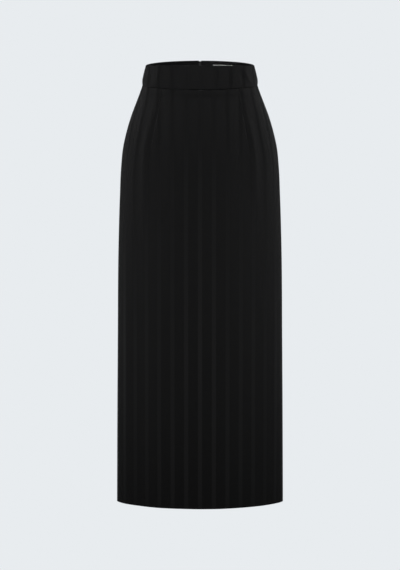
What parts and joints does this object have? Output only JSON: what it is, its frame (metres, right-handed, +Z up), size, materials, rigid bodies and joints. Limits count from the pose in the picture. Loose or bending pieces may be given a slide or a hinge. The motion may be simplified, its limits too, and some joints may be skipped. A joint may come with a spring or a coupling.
{
  "type": "maxi skirt",
  "caption": "Long straight skirt with a shaped waistband, waist darts, tonal lengthwise stripes and a centre-back zip, hollow as worn.",
  "frame": {"origin": "centre of the waistband: on the line between the side seams, at the middle of the band's height there", "axes": "+Z up, -Y the front, +X the wearer's left"},
  "size_m": [0.3764, 0.2171, 0.999],
  "materials": {
    "cloth": "black woven cloth with satin stripes",
    "band": "the same cloth, folded double",
    "tape": "black woven zip tape",
    "coil": "black nylon zip coil",
    "slider": "dark lacquered metal",
    "label": "pale woven tape, blank"
  },
  "bodies": {
    "skirt": {"front_panel": "cloth", "back_panel_left": "cloth", "back_panel_right": "cloth", "waistband_front": "band", "waistband_back_left": "band", "waistband_back_right": "band", "zip_tape_left": "tape", "zip_tape_right": "tape", "zip_coil": "coil", "zip_slider": "slider", "label": "label"},
    "zip_pull": {"zip_pull": "slider"}
  },
  "joints": [
    {"name": "zip_pull_hinge", "type": "hinge", "parent": "skirt", "child": "zip_pull", "pos_m": [0, 0.08616, 0.03269], "axis": [1, 0, 0], "range_deg": [0, 150]}
  ]
}
